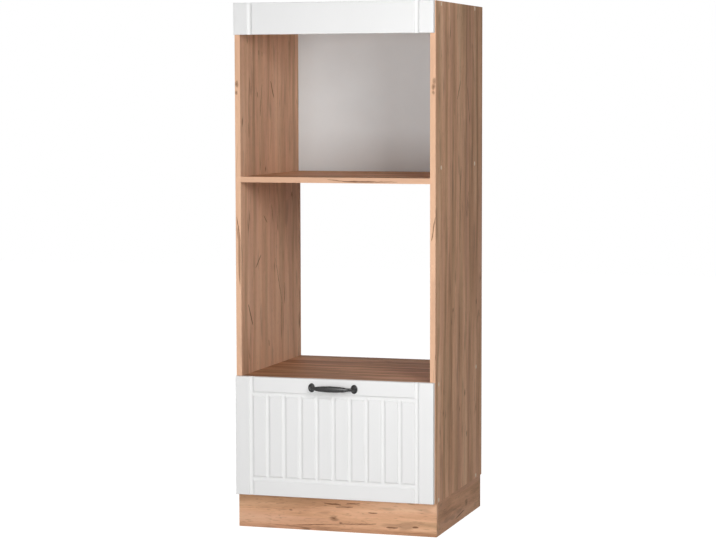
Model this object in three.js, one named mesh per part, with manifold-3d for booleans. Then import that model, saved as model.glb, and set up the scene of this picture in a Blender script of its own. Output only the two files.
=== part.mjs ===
// Kitchen tower cabinet for a built-in oven and a microwave, with one drawer on roller slides.
//
// Millimetres. X runs to the right, Y runs back into the cabinet, Z runs up from the floor.
// Pieces are laid out from the carcass's front plane, Y = 0, and the whole group is moved at
// the end so that the origin is on the floor, below the middle of the overall box.

import * as THREE from 'three';
import { mergeVertices } from 'three/addons/utils/BufferGeometryUtils.js';
import Module from 'manifold-3d';

const wasm = await Module();
wasm.setup();

// ---------------------------------------------------------------- driving dimensions

// Carcass
const cabinetWidth = 600;
const cabinetDepth = 538; // without the fronts
const cabinetHeight = 1525;
const board = 16; // chipboard
const hardboard = 3; // back panels and drawer bottom
const ovenNicheHeight = 564;
const drawerBayHeight = 317;
const backInset = 13; // from the rear edges of the sides to the back panels
const grooveDepth = 7;
const grooveClearance = 0.25;

// Plinth
const plinthHeight = 97;
const plinthSetback = 15;
const plinthRearInset = 14;

// Milled fronts
const frontThickness = 16;
const frontSideReveal = 2;
const frontBottomReveal = 3;
const frontAboveShelf = 1;
const frontEdgeRadius = 2;
const fasciaHeight = 91;
const stileWidth = 49; // from a front's side edge to the middle of the stile groove
const railWidth = 50; // from its top or bottom edge to the middle of the cross groove
const plankCount = 10;
const coveWidth = 15;
const coveDepth = 4.6;

// Bow handle
const handleCentres = 128;
const handleDrop = 25.5; // from the drawer front's top edge to the handle's middle
const handleProjection = 27;
const gripHalfHeight = 9;
const gripHalfDepth = 4.5;
const neckHalfHeight = 4.6;
const neckHalfDepth = 3.8;
const footHalfHeight = 13;
const footHalfWidth = 10;

// Drawer box and its roller slides
const drawerGap = 0.5; // between the shut drawer front and the carcass
const slideGap = 13; // between the carcass's side and the drawer box
const slideRise = 12; // from the bottom panel to the cabinet rails
const slideStep = 50; // slides come in lengths of this step
const railSetback = 3; // from the carcass's front plane to the rails
const boxHeight = 200;
const boxBottomRise = 10; // from the box's lower edge to the drawer bottom
const steel = 1.2;
const rollerRadius = 11;
const rollerWidth = 8;
const pinRadius = 2.5;
const pinHeadRadius = 4;
const pinHead = 0.8;
const rollerSideGap = 0.5;
const rollerInset = 13; // from a rail's end to its roller's pin
const lipWidth = 8;
const lipHeadroom = 1.3;
const lipStart = 40; // the upper lip is cut away over the front roller
const drawerRailHeight = 22;
const drawerRailFoot = 14; // width of the flange under the drawer side
const runningFlange = 10;

// Fixings
const clearance = 0.3;
const confirmatLength = 50;
const confirmatRadius = 3.5;
const confirmatHeadRadius = 5;
const confirmatHeadDepth = 2;
const confirmatSunk = 1; // the head's depth below the side's face, under its cap
const deepFixingFront = 37; // for the oven shelf and the bottom panel
const deepFixingRear = 70;
const shortFixingFront = 62; // for the panels that end at the back panel
const shortFixingRear = 77;
const spareRowRise = 37; // from the microwave shelf to the spare holes above it
const spareHoleDepth = 12;
const capRadius = 6.25;
const capThickness = 0.8; // caps lie flush in shallow recesses
const capStem = 5;
const camRadius = 7.5;
const camDepth = 12.5;
const camInset = 24; // from the shelf's end to the cam's middle
const boltRadius = 2.5;
const boltHeadRadius = 3.25;
const boltHeadLength = 3;
const boltInSide = 11;
const bracketLeg = 24;
const bracketHeight = 20;
const bracketSteel = 2;
const bracketDrop = 50; // from the cabinet's top to the fascia brackets' upper end
const plateHoleRadius = 2.3; // screw holes in rails and brackets
const railScrewInset = 37;
const railScrewRise = 5; // from a cabinet rail's lower edge to its screw holes
const screwRadius = 2;
const screwHeadRadius = 4;
const screwHead = 2;
const handleScrewGrip = 8; // length of thread inside the handle's foot
const frontScrewGrip = 9; // length of thread inside the drawer front

// ---------------------------------------------------------------- derived levels and planes

const outerX = cabinetWidth / 2;
const innerX = outerX - board;
const backFront = cabinetDepth - backInset - hardboard;
const bottomTop = plinthHeight + board;
const ovenShelfBottom = bottomTop + drawerBayHeight;
const ovenShelfTop = ovenShelfBottom + board;
const microwaveShelfBottom = ovenShelfTop + ovenNicheHeight;
const microwaveShelfTop = microwaveShelfBottom + board;
const topPanelBottom = cabinetHeight - board;

const frontX = outerX - frontSideReveal;
const drawerFrontBack = -drawerGap;
const drawerFrontFace = drawerFrontBack - frontThickness;
const drawerFrontBottom = plinthHeight + frontBottomReveal;
const drawerFrontTop = ovenShelfTop + frontAboveShelf;
const fasciaBottom = cabinetHeight - fasciaHeight;
const handleZ = drawerFrontTop - handleDrop;
const handleX = handleCentres / 2;
const foremost = drawerFrontFace - handleProjection;

// The slides, from the carcass's side inwards. The cabinet rail's lower flange carries the rear
// roller, and the front roller carries the drawer rail's running flange.
const railLength = Math.floor((backFront - railSetback) / slideStep) * slideStep;
const railRear = railSetback + railLength;
const railBase = bottomTop + slideRise;
const rollerZ = railBase + steel + clearance + rollerRadius;
const flangeBottom = rollerZ + rollerRadius + clearance;
const flangeTop = flangeBottom + steel;
const lipBottom = flangeTop + lipHeadroom;
const railTop = lipBottom + steel;
const boxX = innerX - slideGap;
const boxInnerX = boxX - board;
const drawerRailBase = flangeTop - drawerRailHeight;
const boxBottom = drawerRailBase + steel;
const boxTop = boxBottom + boxHeight;
const boxRear = drawerFrontBack + railLength;
const drawerFloor = boxBottom + boxBottomRise;
const frontRollerY = railSetback + rollerInset;
const rearRollerY = boxRear - rollerInset;

// ---------------------------------------------------------------- materials

function finish(color, roughness, metalness = 0) {
  return () => new THREE.MeshStandardMaterial({ color, roughness, metalness, flatShading: true });
}

const oak = finish(0xb98c6c, 0.55);
const oakPlinth = finish(0xd3a281, 0.55);
const whiteFoil = finish(0xf2f2f2, 0.4);
const whiteBoard = finish(0xf0eeeb, 0.5);
const greyHardboard = finish(0xcfcbc7, 0.5);
const blackMetal = finish(0x2b2b2b, 0.4, 0.8);
const whiteSteel = finish(0xe6e6e2, 0.35, 0.3);
const zincSteel = finish(0xb9bcbf, 0.35, 0.9);
const whitePlastic = finish(0xe9e7e0, 0.45);
const capPlastic = finish(0xe6cbb3, 0.5);

// ---------------------------------------------------------------- solids

// A closed three.js geometry as a solid that can be joined and cut.
function solidOf(geometry) {
  geometry.deleteAttribute('normal');
  geometry.deleteAttribute('uv');
  const merged = mergeVertices(geometry);
  const corners = merged.index.array;
  const kept = [];
  for (let i = 0; i < corners.length; i += 3) {
    const [a, b, c] = corners.slice(i, i + 3);
    if (a !== b && b !== c && c !== a) kept.push(a, b, c); // a lathe's poles collapse some
  }
  return new wasm.Manifold(new wasm.Mesh({
    numProp: 3,
    vertProperties: merged.attributes.position.array,
    triVerts: new Uint32Array(kept),
  }));
}

function join(solids) {
  return solids.reduce((whole, next) => whole.add(next));
}

function cut(solid, cutters) {
  return cutters.length ? solid.subtract(join(cutters)) : solid;
}

// A rectangular board between two planes on each axis.
function slab([x0, x1], [y0, y1], [z0, z1]) {
  const geometry = new THREE.BoxGeometry(1, 1, 1);
  const corner = geometry.attributes.position;
  for (let i = 0; i < corner.count; i++) {
    corner.setXYZ(
      i,
      corner.getX(i) > 0 ? x1 : x0,
      corner.getY(i) > 0 ? y1 : y0,
      corner.getZ(i) > 0 ? z1 : z0,
    );
  }
  return solidOf(geometry);
}

// The same stretch on the left (side -1) or on the right (side 1), in rising order.
function span(side, near, far) {
  return side > 0 ? [near, far] : [-far, -near];
}

// An outline pushed along an axis. It is drawn in (y, z) for x, (x, z) for y and (x, y) for z.
const layout = {
  x: (u, v, w) => [w, u, v],
  y: (u, v, w) => [u, -w, v],
  z: (u, v, w) => [u, v, w],
};

function prism(axis, outline, from, to, bevel = {}) {
  const shape = new THREE.Shape(outline.map(([u, v]) => new THREE.Vector2(u, v)));
  const depth = to - from;
  const geometry = new THREE.ExtrudeGeometry(shape, { depth, bevelEnabled: false, ...bevel });
  const [start, end] = axis === 'y' ? [-to, -from] : [from, to];
  const corner = geometry.attributes.position;
  for (let i = 0; i < corner.count; i++) {
    const w = corner.getZ(i);
    const along = w === 0 ? start : w === Math.fround(depth) ? end : start + w;
    corner.setXYZ(i, ...layout[axis](corner.getX(i), corner.getY(i), along));
  }
  return solidOf(geometry);
}

// A profile of [radius, distance] turned about an axis through a point. The distances run
// along the axis in the direction given, 1 or -1, and oval narrows the section.
const turning = {
  x: (a, h, b) => [h, b, a],
  y: (a, h, b) => [a, h, b],
  z: (a, h, b) => [b, a, h],
};
const halfTurn = { x: [-1, -1, 1], y: [1, -1, -1], z: [-1, 1, -1] };

function turned(axis, profile, at, { direction = 1, sides = 12, oval = 1 } = {}) {
  const points = profile.map(([radius, distance]) => new THREE.Vector2(radius, distance));
  const geometry = new THREE.LatheGeometry(points, sides);
  const corner = geometry.attributes.position;
  for (let i = 0; i < corner.count; i++) {
    const [a, h, b] = [corner.getX(i) * oval, corner.getY(i), corner.getZ(i)];
    const turnedTo = turning[axis](a, h, b).map((v, k) => (direction > 0 ? v : v * halfTurn[axis][k]));
    corner.setXYZ(i, ...turnedTo.map((v, k) => v + at[k]));
  }
  return solidOf(geometry);
}

// A round bar or hole. Its flats lie at the radius, so a shaft inside it stays clear.
function bar(axis, radius, from, to, at, sides = 12) {
  const corners = radius / Math.cos(Math.PI / sides);
  const profile = [[0, from], [corners, from], [corners, to], [0, to]];
  return turned(axis, profile, at, { sides });
}

// A body through a row of rings with the same number of points each.
function loft(rings) {
  const count = rings[0].length;
  const middle = (ring) => ring.reduce((sum, p) => sum.add(p), new THREE.Vector3())
    .divideScalar(count);
  const ends = [middle(rings[0]), middle(rings[rings.length - 1])];
  const positions = [...rings.flat(), ...ends].flatMap((p) => [p.x, p.y, p.z]);
  const index = [];
  for (let ring = 0; ring < rings.length - 1; ring++) {
    for (let k = 0; k < count; k++) {
      const a = ring * count + k;
      const b = ring * count + ((k + 1) % count);
      index.push(a, b, b + count, a, b + count, a + count);
    }
  }
  const first = rings.length * count;
  const last = (rings.length - 1) * count;
  for (let k = 0; k < count; k++) {
    index.push(first, (k + 1) % count, k);
    index.push(first + 1, last + k, last + ((k + 1) % count));
  }
  const geometry = new THREE.BufferGeometry();
  geometry.setAttribute('position', new THREE.Float32BufferAttribute(positions, 3));
  geometry.setIndex(index);
  return solidOf(geometry);
}

// ---------------------------------------------------------------- the scene graph

const cabinet = new THREE.Group();
const sides = [['left', -1], ['right', 1]];
const ends = ['front', 'rear'];

function addPiece(name, solid, material) {
  const { vertProperties, triVerts } = solid.getMesh();
  const geometry = new THREE.BufferGeometry();
  geometry.setAttribute('position', new THREE.BufferAttribute(vertProperties, 3));
  geometry.setIndex(new THREE.BufferAttribute(triVerts, 1));
  geometry.computeVertexNormals();
  const mesh = new THREE.Mesh(geometry, material());
  mesh.name = name;
  cabinet.add(mesh);
}

// ---------------------------------------------------------------- carcass joints

// Rows of fixings, as [name, height of the board's middle, distances from the front].
const middleOf = (bottom) => bottom + board / 2;
const deepRow = [deepFixingFront, cabinetDepth - deepFixingRear];
const shortRow = [shortFixingFront, backFront - shortFixingRear];
const confirmatRows = [
  ['top', middleOf(topPanelBottom), shortRow],
  ['oven_shelf', middleOf(ovenShelfBottom), deepRow],
  ['bottom', middleOf(plinthHeight), deepRow],
];
const camZ = middleOf(microwaveShelfBottom);
const spareZ = camZ + spareRowRise;

// A one-piece connector: sunk head, plain shank and a short point.
function confirmat(side, y, z) {
  const headEnd = confirmatSunk + confirmatHeadDepth;
  const neck = headEnd + confirmatHeadRadius - confirmatRadius;
  const profile = [
    [0, confirmatSunk],
    [confirmatHeadRadius, confirmatSunk],
    [confirmatHeadRadius, headEnd],
    [confirmatRadius, neck],
    [confirmatRadius, confirmatLength - 2],
    [confirmatRadius / 2, confirmatLength],
    [0, confirmatLength],
  ];
  return turned('x', profile, [side * outerX, y, z], { direction: -side });
}

// The shallow recess in a side's face that a cap lies in.
function capRecess(side, y, z) {
  const depth = span(side, outerX - capThickness, outerX + 1);
  return bar('x', capRadius + clearance, ...depth, [0, y, z], 24);
}

// The stepped hole that a connector goes into, as one cutter for the side and the shelf.
function confirmatHole(side, y, z) {
  const headEnd = confirmatSunk + confirmatHeadDepth + clearance;
  const head = span(side, outerX - headEnd - confirmatHeadRadius + confirmatRadius, outerX);
  const shank = span(side, outerX - confirmatLength - clearance, outerX);
  return join([
    capRecess(side, y, z),
    bar('x', confirmatHeadRadius + clearance, ...head, [0, y, z]),
    bar('x', confirmatRadius + clearance, ...shank, [0, y, z]),
  ]);
}

function confirmatHoles(rows, chosen = sides) {
  return chosen.flatMap(([, side]) => rows.flatMap(([, z, places]) => (
    places.map((y) => confirmatHole(side, y, z)))));
}

// Side panels: stepped holes, blind bolt holes, blind spare holes and one long back groove.
const backGroove = [backFront - grooveClearance, backFront + hardboard + grooveClearance];

for (const [name, side] of sides) {
  const groove = slab(
    span(side, innerX - 1, innerX + grooveDepth + grooveClearance),
    backGroove,
    [plinthHeight - 1, cabinetHeight + 1],
  );
  const boltHoles = shortRow.map((y) => bar(
    'x', boltRadius + clearance,
    ...span(side, innerX - 1, innerX + boltInSide + clearance), [0, y, camZ],
  ));
  const spareHoles = shortRow.flatMap((y) => [
    capRecess(side, y, spareZ),
    bar('x', confirmatRadius, ...span(side, outerX - spareHoleDepth, outerX), [0, y, spareZ]),
  ]);
  const panel = slab(
    span(side, innerX, outerX), [0, cabinetDepth], [plinthHeight, cabinetHeight],
  );
  const holes = confirmatHoles(confirmatRows, [[name, side]]);
  addPiece(`side_panel_${name}`, cut(panel, [groove, ...boltHoles, ...spareHoles, ...holes]), oak);
}

// Panels between the sides.
const between = [-innerX, innerX];
const topPanel = slab(between, [0, backFront], [topPanelBottom, cabinetHeight]);
addPiece('top_panel', cut(topPanel, confirmatHoles([confirmatRows[0]])), oak);
const ovenShelf = slab(between, [0, cabinetDepth], [ovenShelfBottom, ovenShelfTop]);
addPiece('oven_shelf', cut(ovenShelf, confirmatHoles([confirmatRows[1]])), oak);
const bottomPanel = slab(between, [0, cabinetDepth], [plinthHeight, bottomTop]);
addPiece('bottom_panel', cut(bottomPanel, confirmatHoles([confirmatRows[2]])), oak);

// The microwave shelf hangs on bolts in the sides, each held by a cam in the shelf's underside.
const camX = innerX - camInset;
const camTop = microwaveShelfBottom + camDepth;
const boltTip = camX + clearance + boltRadius;

function camPocket(side, y) {
  return join([
    bar('z', camRadius + clearance, microwaveShelfBottom - 1, camTop + clearance, [side * camX, y, 0]),
    bar('x', boltHeadRadius + clearance, ...span(side, camX, innerX + 1), [0, y, camZ]),
  ]);
}

function camBolt(side, y) {
  const headEnd = boltTip + boltHeadLength;
  const profile = [
    [0, boltTip],
    [boltHeadRadius, boltTip],
    [boltHeadRadius, headEnd],
    [boltRadius, headEnd],
    [boltRadius, innerX + boltInSide],
    [0, innerX + boltInSide],
  ];
  return turned('x', profile, [0, y, camZ], { direction: side });
}

function cam(side, y) {
  const reach = boltHeadRadius + clearance;
  const slot = slab(
    span(side, camX, camX + camRadius + 1), [y - reach, y + reach], [camZ - reach, camZ + reach],
  );
  const drum = [
    [0, microwaveShelfBottom], [camRadius, microwaveShelfBottom], [camRadius, camTop], [0, camTop],
  ];
  return cut(turned('z', drum, [side * camX, y, 0], { sides: 16 }), [slot]);
}

const pockets = sides.flatMap(([, side]) => shortRow.map((y) => camPocket(side, y)));
const microwaveShelf = slab(between, [0, backFront], [microwaveShelfBottom, microwaveShelfTop]);
addPiece('microwave_shelf', cut(microwaveShelf, pockets), oak);

for (const [name, side] of sides) {
  shortRow.forEach((y, i) => {
    addPiece(`shelf_bolt_${name}_${ends[i]}`, camBolt(side, y), zincSteel);
    addPiece(`shelf_cam_${name}_${ends[i]}`, cam(side, y), zincSteel);
  });
  for (const [row, z, places] of confirmatRows) {
    places.forEach((y, i) => {
      addPiece(`${row}_connector_${name}_${ends[i]}`, confirmat(side, y, z), zincSteel);
    });
  }
}

// Caps that close the spare holes: a thin disc flush with the face and a stem in the hole.
for (const [name, side] of sides) {
  const profile = [
    [0, -capStem],
    [confirmatRadius - clearance, -capStem],
    [confirmatRadius - clearance, -capThickness],
    [capRadius, -capThickness],
    [capRadius, 0],
    [0, 0],
  ];
  shortRow.forEach((y, i) => {
    const cap = turned('x', profile, [side * outerX, y, spareZ], { direction: side, sides: 24 });
    addPiece(`spare_hole_cap_${name}_${ends[i]}`, cap, capPlastic);
  });
}

// Back panels stand in the sides' grooves. The oven niche has none, for the oven's air.
const backWide = [-innerX - grooveDepth, innerX + grooveDepth];
const backThick = [backFront, backFront + hardboard];
addPiece('back_panel', slab(backWide, backThick, [microwaveShelfBottom, cabinetHeight]), greyHardboard);
addPiece('drawer_bay_back', slab(backWide, backThick, [bottomTop, ovenShelfBottom]), greyHardboard);

// ---------------------------------------------------------------- plinth

const plinthFrontY = [plinthSetback, plinthSetback + board];
const plinthRearY = [cabinetDepth - plinthRearInset - board, cabinetDepth - plinthRearInset];
const plinthZ = [0, plinthHeight];
addPiece('plinth_front', slab([-outerX, outerX], plinthFrontY, plinthZ), oakPlinth);
addPiece('plinth_rear', slab([-outerX, outerX], plinthRearY, plinthZ), oakPlinth);
for (const [name, side] of sides) {
  const rail = slab(span(side, innerX, outerX), [plinthFrontY[1], plinthRearY[0]], plinthZ);
  addPiece(`plinth_side_${name}`, rail, oakPlinth);
}

// ---------------------------------------------------------------- milled fronts

// A cove groove's section: an arc as wide and deep as the cutter leaves it, drawn as
// [across, depth], and open above the face.
function coveOutline() {
  const radius = (coveWidth ** 2 / 4 + coveDepth ** 2) / (2 * coveDepth);
  const half = Math.asin(coveWidth / 2 / radius);
  const steps = 6;
  const arc = Array.from({ length: steps + 1 }, (_, i) => {
    const angle = half * (1 - 2 * i / steps);
    return [radius * Math.sin(angle), coveDepth - radius * (1 - Math.cos(angle))];
  });
  return [[-coveWidth / 2, -1], [coveWidth / 2, -1], ...arc];
}

function uprightCove(x, face, from, to) {
  return prism('z', coveOutline().map(([a, d]) => [x + a, face + d]), from, to);
}

function crossCove(z, face, from, to) {
  return prism('x', coveOutline().map(([a, d]) => [face + d, z + a]), from, to);
}

// A front blank, rounded along its four front edges only.
function frontBlank(face, bottom, top) {
  const r = frontEdgeRadius;
  const outline = [[-frontX, bottom], [frontX, bottom], [frontX, top], [-frontX, top]];
  const rounded = prism('y', outline, face + r, face + frontThickness, {
    bevelEnabled: true, bevelThickness: r, bevelSize: r, bevelOffset: -r, bevelSegments: 3,
  });
  const behind = slab(
    [-frontX - 1, frontX + 1],
    [face + frontThickness, face + frontThickness + r + 1],
    [bottom - 1, top + 1],
  );
  return cut(rounded, [behind]);
}

const stileX = frontX - stileWidth;
const plankPitch = 2 * stileX / plankCount;

// Stile grooves run out at the top and bottom. Cross grooves and plank grooves end in others.
function drawerCoves() {
  const lowest = drawerFrontBottom + railWidth;
  const highest = drawerFrontTop - railWidth;
  const coves = [lowest, highest].map((z) => crossCove(z, drawerFrontFace, -stileX, stileX));
  for (let i = 0; i <= plankCount; i++) {
    const stile = i === 0 || i === plankCount;
    const reach = stile ? [drawerFrontBottom - 1, drawerFrontTop + 1] : [lowest, highest];
    coves.push(uprightCove(-stileX + i * plankPitch, drawerFrontFace, ...reach));
  }
  return coves;
}

const handleHoles = sides.map(([, side]) => bar(
  'y', screwRadius + clearance, drawerFrontFace - 1, drawerFrontBack + 1,
  [side * handleX, 0, handleZ],
));
const frontScrewZ = (boxBottom + boxTop) / 2;
const frontScrewX = boxInnerX - board - bracketLeg;
const frontScrewTip = drawerFrontBack - frontScrewGrip;
const frontScrewHoles = sides.map(([, side]) => bar(
  'y', screwRadius + clearance, frontScrewTip - clearance, drawerFrontBack + 2 * board,
  [side * frontScrewX, 0, frontScrewZ],
));
const drawerBlank = frontBlank(drawerFrontFace, drawerFrontBottom, drawerFrontTop);
addPiece(
  'drawer_front',
  cut(drawerBlank, [...drawerCoves(), ...handleHoles, ...frontScrewHoles]),
  whiteFoil,
);

const fasciaFace = -frontThickness;
const fasciaCoves = [-stileX, stileX].map((x) => (
  uprightCove(x, fasciaFace, fasciaBottom - 1, cabinetHeight + 1)));
addPiece('fascia_panel', cut(frontBlank(fasciaFace, fasciaBottom, cabinetHeight), fasciaCoves), whiteFoil);

// Angle brackets behind the fascia, one leg on a side panel and one on the fascia.
for (const [name, side] of sides) {
  const outline = [
    [innerX, 0], [innerX, bracketLeg], [innerX - bracketSteel, bracketLeg],
    [innerX - bracketSteel, bracketSteel], [innerX - bracketLeg, bracketSteel],
    [innerX - bracketLeg, 0],
  ].map(([x, y]) => [side * x, y]);
  const upperEnd = cabinetHeight - bracketDrop;
  const angle = prism('z', outline, upperEnd - bracketHeight, upperEnd);
  const middle = upperEnd - bracketHeight / 2;
  const far = (bracketLeg + bracketSteel) / 2;
  const holes = [
    bar('x', plateHoleRadius, ...span(side, innerX - bracketSteel - 1, innerX + 1), [0, far, middle]),
    bar('y', plateHoleRadius, -1, bracketSteel + 1, [side * (innerX - far), 0, middle]),
  ];
  addPiece(`fascia_bracket_${name}`, cut(angle, holes), zincSteel);
}

// ---------------------------------------------------------------- bow handle

// The bow's middle line over the drawer front, as [x, height above the face], with the
// section's half height and half depth there.
const gripRise = handleProjection - gripHalfDepth;
const bowStations = [
  [handleX, gripRise * 0.12, neckHalfHeight * 1.3, neckHalfDepth * 1.4],
  [handleX - 0.5, gripRise * 0.38, neckHalfHeight * 1.15, neckHalfDepth * 1.25],
  [handleX - 4, gripRise * 0.66, neckHalfHeight * 1.05, neckHalfDepth * 1.1],
  [handleX - 12, gripRise * 0.87, neckHalfHeight, neckHalfDepth],
  [handleX * 0.62, gripRise * 0.95, (neckHalfHeight + gripHalfHeight) / 2, neckHalfDepth * 1.08],
  [handleX * 0.34, gripRise * 0.99, gripHalfHeight * 0.92, gripHalfDepth * 0.98],
  [0, gripRise, gripHalfHeight, gripHalfDepth],
];

function bow() {
  const mirrored = bowStations.slice(0, -1).map(([x, ...rest]) => [-x, ...rest]).reverse();
  const stations = [...bowStations, ...mirrored];
  const line = new THREE.CatmullRomCurve3(stations.map(([x, rise]) => new THREE.Vector3(x, rise, 0)));
  const section = new THREE.CatmullRomCurve3(stations.map(([, , h, d]) => new THREE.Vector3(h, d, 0)));
  const rings = [];
  const steps = 28;
  const around = 12;
  for (let i = 0; i <= steps; i++) {
    const t = i / steps;
    const at = line.getPoint(t);
    const run = line.getTangent(t);
    const half = section.getPoint(t);
    const ring = Array.from({ length: around }, (_, k) => {
      const angle = 2 * Math.PI * k / around;
      const off = half.y * Math.cos(angle);
      return new THREE.Vector3(
        at.x + run.y * off,
        drawerFrontFace - (at.y - run.x * off),
        handleZ + half.x * Math.sin(angle),
      );
    });
    rings.push(ring);
  }
  return loft(rings);
}

// A foot: an oval rosette with a rounded rim, a ring groove and a collar round the neck.
function handleFoot(side) {
  const r = footHalfHeight;
  const profile = [
    [0, 0], [r * 0.93, 0], [r, 1.2], [r, 2.4], [r * 0.93, 3.5], [r * 0.8, 3.9],
    [r * 0.72, 3.4], [r * 0.66, 3.9], [r * 0.62, 5.2], [r * 0.5, 6.6], [0, 7.2],
  ];
  return turned('y', profile, [side * handleX, drawerFrontFace, handleZ], {
    direction: -1, sides: 24, oval: footHalfWidth / footHalfHeight,
  });
}

const threadHoles = sides.map(([, side]) => bar(
  'y', screwRadius + clearance, drawerFrontFace - handleScrewGrip - clearance, drawerFrontFace + 1,
  [side * handleX, 0, handleZ],
));
const feet = sides.map(([, side]) => handleFoot(side));
addPiece('drawer_handle', cut(join([bow(), ...feet]), threadHoles), blackMetal);

// A pan-head screw whose head sits on a plane at headY and whose tip points to the front.
function screw(x, z, headY, tipY) {
  const profile = [
    [0, tipY - headY], [screwRadius, tipY - headY], [screwRadius, 0], [screwHeadRadius, 0],
    [screwHeadRadius * 0.9, screwHead * 0.7], [screwHeadRadius * 0.5, screwHead], [0, screwHead],
  ];
  return turned('y', profile, [x, headY, z]);
}

for (const [name, side] of sides) {
  const handleTip = drawerFrontFace - handleScrewGrip;
  const handleScrew = screw(side * handleX, handleZ, drawerFrontBack, handleTip);
  addPiece(`handle_screw_${name}`, handleScrew, zincSteel);
  const frontScrew = screw(
    side * frontScrewX, frontScrewZ, drawerFrontBack + board, frontScrewTip,
  );
  addPiece(`drawer_front_screw_${name}`, frontScrew, zincSteel);
}

// ---------------------------------------------------------------- drawer box

const floorGroove = [drawerFloor - grooveClearance, drawerFloor + hardboard + grooveClearance];
const floorHalf = boxInnerX + grooveDepth;
const floorFront = drawerFrontBack + board - grooveDepth;
const floorRoom = slab(
  [-floorHalf - grooveClearance, floorHalf + grooveClearance],
  [floorFront - grooveClearance, boxRear + 1],
  floorGroove,
);

for (const [name, side] of sides) {
  const wall = slab(span(side, boxInnerX, boxX), [drawerFrontBack, boxRear], [boxBottom, boxTop]);
  addPiece(`drawer_side_${name}`, cut(wall, [floorRoom]), whiteBoard);
}
const boxAcross = [-boxInnerX, boxInnerX];
const innerFront = slab(boxAcross, [drawerFrontBack, drawerFrontBack + board], [boxBottom, boxTop]);
addPiece('drawer_box_front', cut(innerFront, [floorRoom, ...frontScrewHoles]), whiteBoard);
const floorTop = drawerFloor + hardboard;
addPiece('drawer_box_back', slab(boxAcross, [boxRear - board, boxRear], [floorTop, boxTop]), whiteBoard);
addPiece('drawer_bottom', slab([-floorHalf, floorHalf], [floorFront, boxRear], [drawerFloor, floorTop]),
  whiteBoard);

// ---------------------------------------------------------------- roller slides

const cabinetWeb = innerX - steel; // inner face of the cabinet rail's web
const drawerWeb = boxX + steel; // outer face of the drawer rail's web
const pinReach = rollerSideGap + rollerWidth + clearance + pinHead;
const railScrews = (rear) => [
  railSetback + railScrewInset, (railSetback + rear) / 2, rear - railScrewInset,
];

// A riveted pin with a head, standing out from a web at x towards the middle (-1) or away (1).
function rollerPin(x, y, towards) {
  const headStart = pinReach - pinHead;
  const profile = [
    [0, -steel / 2], [pinRadius, -steel / 2], [pinRadius, headStart], [pinHeadRadius, headStart],
    [pinHeadRadius, pinReach], [0, pinReach],
  ];
  return turned('x', profile, [x, y, rollerZ], { direction: towards, sides: 16 });
}

// A plastic roller with a slightly crowned tread, its near face at x.
function roller(x, y, towards) {
  const bore = (pinRadius + clearance) / Math.cos(Math.PI / 16);
  const crown = 0.6;
  const profile = [
    [bore, 0], [rollerRadius - crown, 0], [rollerRadius, crown],
    [rollerRadius, rollerWidth - crown], [rollerRadius - crown, rollerWidth],
    [bore, rollerWidth], [bore, 0],
  ];
  return turned('x', profile, [x, y, rollerZ], { direction: towards, sides: 24 });
}

for (const [name, side] of sides) {
  const place = (points) => points.map(([x, z]) => [side * x, z]);

  // Cabinet rail: a channel, with its upper lip cut away above the front roller.
  const channel = prism('y', place([
    [innerX, railBase], [innerX, railTop], [innerX - lipWidth, railTop],
    [innerX - lipWidth, lipBottom], [cabinetWeb, lipBottom], [cabinetWeb, railBase + steel],
    [innerX - slideGap + 2 * steel, railBase + steel], [innerX - slideGap + 2 * steel, railBase],
  ]), railSetback, railRear);
  const lipRoom = slab(
    span(side, 0, cabinetWeb), [railSetback - 1, railSetback + lipStart], [flangeTop, railTop + 1],
  );
  const webHoles = railScrews(railRear).map((y) => bar(
    'x', plateHoleRadius, ...span(side, cabinetWeb - 1, innerX + 1), [0, y, railBase + railScrewRise],
  ));
  const frontPin = rollerPin(side * cabinetWeb, frontRollerY, -side);
  const cabinetRail = join([cut(channel, [lipRoom, ...webHoles]), frontPin]);
  addPiece(`cabinet_rail_${name}`, cabinetRail, whiteSteel);
  const frontRoller = roller(side * (cabinetWeb - rollerSideGap), frontRollerY, -side);
  addPiece(`front_roller_${name}`, frontRoller, whitePlastic);

  // Drawer rail: a foot under the drawer side, a web beside it and the running flange on top.
  const angle = prism('y', place([
    [boxX - drawerRailFoot, drawerRailBase], [drawerWeb, drawerRailBase],
    [drawerWeb, flangeBottom], [boxX + runningFlange, flangeBottom],
    [boxX + runningFlange, flangeTop], [boxX, flangeTop], [boxX, boxBottom],
    [boxX - drawerRailFoot, boxBottom],
  ]), railSetback, boxRear);
  const footHoles = railScrews(boxRear).map((y) => bar(
    'z', plateHoleRadius, drawerRailBase - 1, boxBottom + 1,
    [side * (boxX - drawerRailFoot / 2), y, 0],
  ));
  const rearPin = rollerPin(side * drawerWeb, rearRollerY, side);
  addPiece(`drawer_rail_${name}`, join([cut(angle, footHoles), rearPin]), whiteSteel);
  const rearRoller = roller(side * (drawerWeb + rollerSideGap), rearRollerY, side);
  addPiece(`rear_roller_${name}`, rearRoller, whitePlastic);
}

// The origin lies on the floor below the middle of the overall box.
cabinet.position.y = -(cabinetDepth + foremost) / 2;

export default cabinet;
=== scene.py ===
# %% [markdown]
# # A tall kitchen cabinet for a microwave, dressed for a photograph
#
# The solids of this cabinet come from a CAD pack. They are right in size and place, but they are
# plain: flat colours and grooves with a few facets. In this lesson we keep the solids as a fixed
# frame and build the look around them. Boards get a printed oak decor, the white fronts are milled
# again as smooth surfaces, and the handle, the caps and the screws get their real shapes.
#
# Everything is in metres and in the frame of the CAD pack, so a piece goes where the pack says.

# %% Load the frame
import math

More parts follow.
